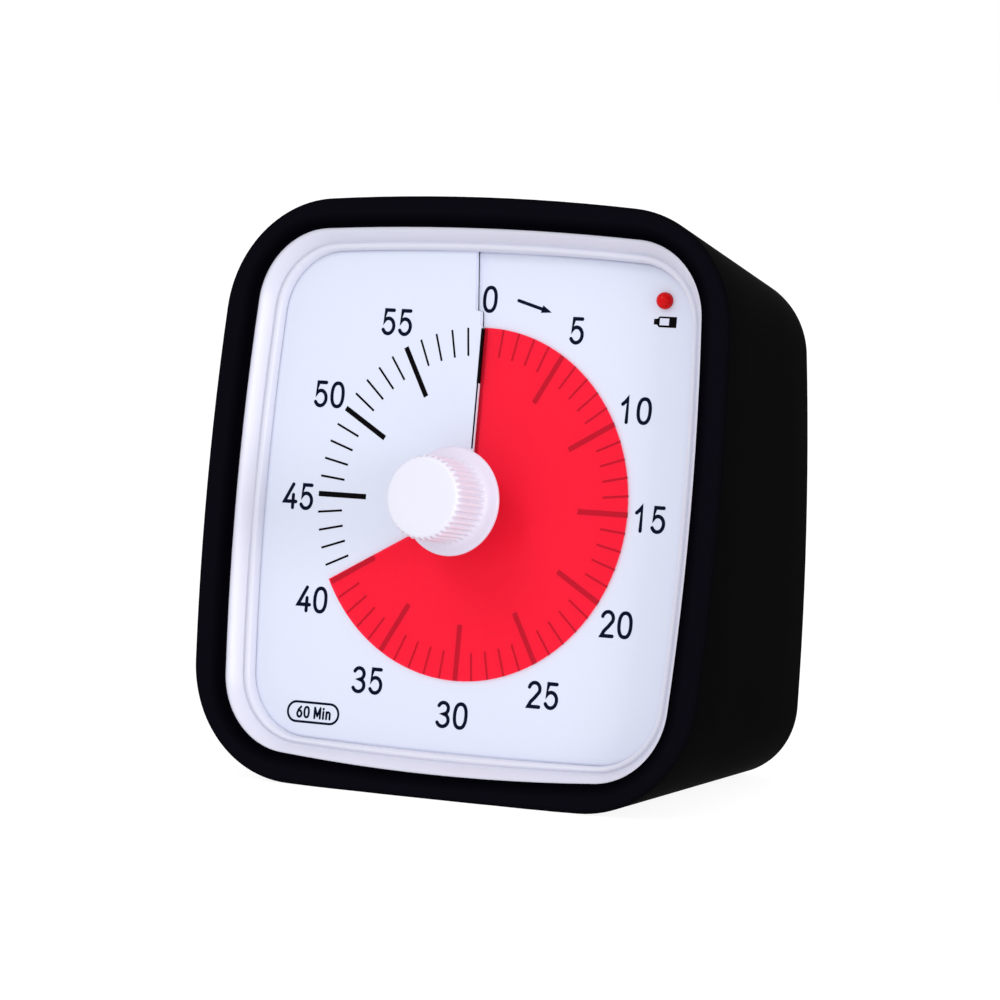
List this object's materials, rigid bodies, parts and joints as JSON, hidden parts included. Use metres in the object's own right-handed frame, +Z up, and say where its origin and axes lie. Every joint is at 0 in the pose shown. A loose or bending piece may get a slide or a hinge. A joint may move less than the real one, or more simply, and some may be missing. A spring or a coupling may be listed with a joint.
{
  "type": "visual countdown timer",
  "caption": "Square countdown timer with a round knob, a red disc that winds out of a slit in a numbered dial, and a soft sleeve round its case.",
  "frame": {"origin": "middle of the object's box, at the plane that it stands on", "axes": "+Z up, the dial faces -Y and leans back 8 degrees, +X is to the viewer's right"},
  "size_m": [0.0984, 0.0647, 0.0997],
  "materials": {
    "sleeve_rubber": "matt silicone rubber",
    "case_white": "satin moulded ABS",
    "dial_white": "satin printed sheet",
    "knob_white": "satin moulded ABS",
    "disc_red": "satin translucent PVC sheet",
    "led_red": "clear red epoxy",
    "movement_black": "moulded",
    "movement_grey": "moulded",
    "gear_nylon": "acetal",
    "brass": "turned",
    "steel": "bright",
    "screw_steel": "zinc plated",
    "board_green": "solder resist",
    "cell_wrap": "printed metal jacket without lettering"
  },
  "bodies": {
    "case": {"silicone_sleeve": "sleeve_rubber", "front_shell": "case_white", "rear_shell": "case_white", "dial_plate": "dial_white", "indicator_led": "led_red", "movement_base": "movement_black", "movement_cover": "movement_grey", "spindle_bush": "brass", "reduction_arbor": "steel", "drive_motor": "steel", "circuit_board": "board_green", "controller_chip": "movement_black", "quartz_crystal": "steel", "zero_contact": "brass", "buzzer": "movement_black", "switch_body": "steel", "battery_cell": "cell_wrap", "battery_spring": "steel", "battery_contact": "steel", "case_screws": "screw_steel", "movement_screws": "screw_steel"},
    "spindle_set": {"knob": "knob_white", "spindle": "brass", "clutch_spring": "steel", "main_wheel": "gear_nylon"},
    "disc": {"disc_collar": "disc_red", "red_disc": "disc_red"},
    "reduction": {"reduction_gear": "gear_nylon"},
    "motor_output": {"motor_pinion": "gear_nylon"},
    "volume": {"volume_slider": "movement_black"},
    "door": {"battery_door": "case_white"}
  },
  "joints": [
    {"name": "knob_turn", "type": "hinge", "parent": "case", "child": "spindle_set", "pos_m": [0, -0.02088, 0.04921], "axis": [0, 0.9903, -0.1392], "range_deg": [-240, 120]},
    {"name": "disc_rise", "type": "slide", "parent": "spindle_set", "child": "disc", "axis": [0, -0.9903, 0.1392], "range_m": [-0.00081, 0.0004]},
    {"name": "reduction_turn", "type": "hinge", "parent": "case", "child": "reduction", "pos_m": [-0.01061, -0.02235, 0.03871], "axis": [0, 0.9903, -0.1392], "range_deg": [-481, 961]},
    {"name": "motor_turn", "type": "hinge", "parent": "case", "child": "motor_output", "pos_m": [0, -0.02383, 0.02821], "axis": [0, 0.9903, -0.1392], "range_deg": [-3842, 1922]},
    {"name": "volume_slide", "type": "slide", "parent": "case", "child": "volume", "axis": [1, 0, 0], "range_m": [-0.002, 0.002]},
    {"name": "door_hinge", "type": "hinge", "parent": "case", "child": "door", "pos_m": [0, 0.02942, 0.0142], "axis": [-1, 0, 0], "range_deg": [0, 75]}
  ],
  "couplings": [
    {"joint": "disc_rise", "follows": "knob_turn", "m_per_rad": 0.00019099},
    {"joint": "reduction_turn", "follows": "knob_turn", "ratio": -4},
    {"joint": "motor_turn", "follows": "knob_turn", "ratio": 16}
  ]
}
